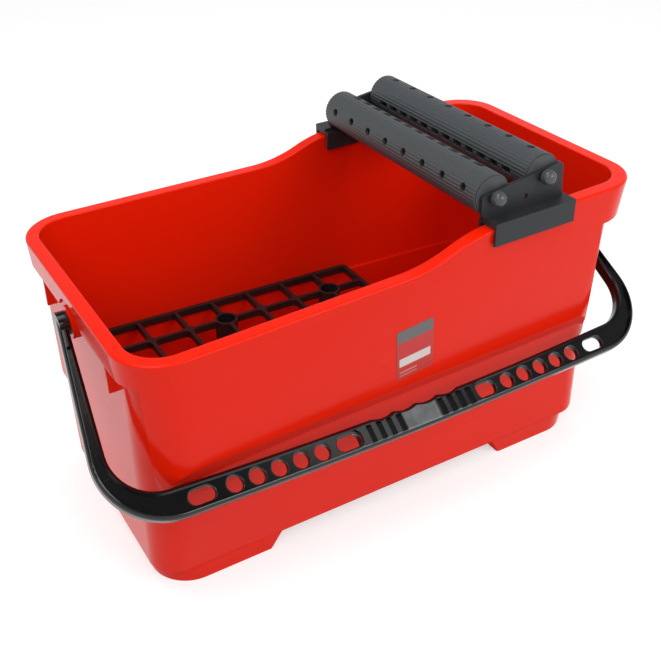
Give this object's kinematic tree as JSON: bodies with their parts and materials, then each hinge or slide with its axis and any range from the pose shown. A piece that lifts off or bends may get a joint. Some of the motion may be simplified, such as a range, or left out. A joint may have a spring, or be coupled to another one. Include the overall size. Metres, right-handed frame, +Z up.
{
  "type": "grout cleaning bucket",
  "caption": "Long plastic wash tub with a stepped rim, a swinging carrying handle, a lift-out sediment grate and a clip-on wringing unit with perforated rollers.",
  "frame": {"origin": "on the floor, under the middle of the whole object with the handle hanging down", "axes": "+Z up, +X along the tub towards the roller end, -Y towards the side where the handle hangs"},
  "size_m": [0.5876, 0.3121, 0.3457],
  "materials": {
    "tub_red": "glossy moulded polypropylene",
    "label": "plain printed film",
    "handle_black": "glossy moulded plastic",
    "grate_black": "satin moulded plastic",
    "unit_grey": "satin moulded plastic",
    "roller_grey": "satin extruded plastic",
    "plug_dark": "satin moulded plastic",
    "cap_dark": "glossy moulded plastic",
    "axle_steel": "drawn bright steel"
  },
  "bodies": {
    "tub": {"tub": "tub_red", "blank_label": "label"},
    "handle": {"handle": "handle_black"},
    "grate": {"sediment_grate": "grate_black"},
    "roller_unit": {"front_bracket": "unit_grey", "back_bracket": "unit_grey", "front_axle": "axle_steel", "rear_axle": "axle_steel", "front_axle_cap_near": "cap_dark", "front_axle_cap_far": "cap_dark", "rear_axle_cap_near": "cap_dark", "rear_axle_cap_far": "cap_dark", "front_tie_bar": "unit_grey", "rear_tie_bar": "unit_grey"},
    "front_roller": {"front_roller": "roller_grey", "front_roller_plug_near": "plug_dark", "front_roller_plug_far": "plug_dark"},
    "rear_roller": {"rear_roller": "roller_grey", "rear_roller_plug_near": "plug_dark", "rear_roller_plug_far": "plug_dark"}
  },
  "joints": [
    {"name": "handle_swing", "type": "hinge", "parent": "tub", "child": "handle", "pos_m": [0, 0.008, 0.235], "axis": [-1, 0, 0], "range_deg": [0, 250]},
    {"name": "grate_lift", "type": "slide", "parent": "tub", "child": "grate", "axis": [0, 0, 1], "range_m": [0, 0.14]},
    {"name": "roller_unit_lift", "type": "slide", "parent": "tub", "child": "roller_unit", "axis": [0, 0, 1], "range_m": [0, 0.06]},
    {"name": "front_roller_spin", "type": "hinge", "parent": "roller_unit", "child": "front_roller", "pos_m": [0.0852, 0.008, 0.3189], "axis": [0, 1, 0], "continuous": true},
    {"name": "rear_roller_spin", "type": "hinge", "parent": "roller_unit", "child": "rear_roller", "pos_m": [0.1406, 0.008, 0.3265], "axis": [0, 1, 0], "continuous": true}
  ]
}
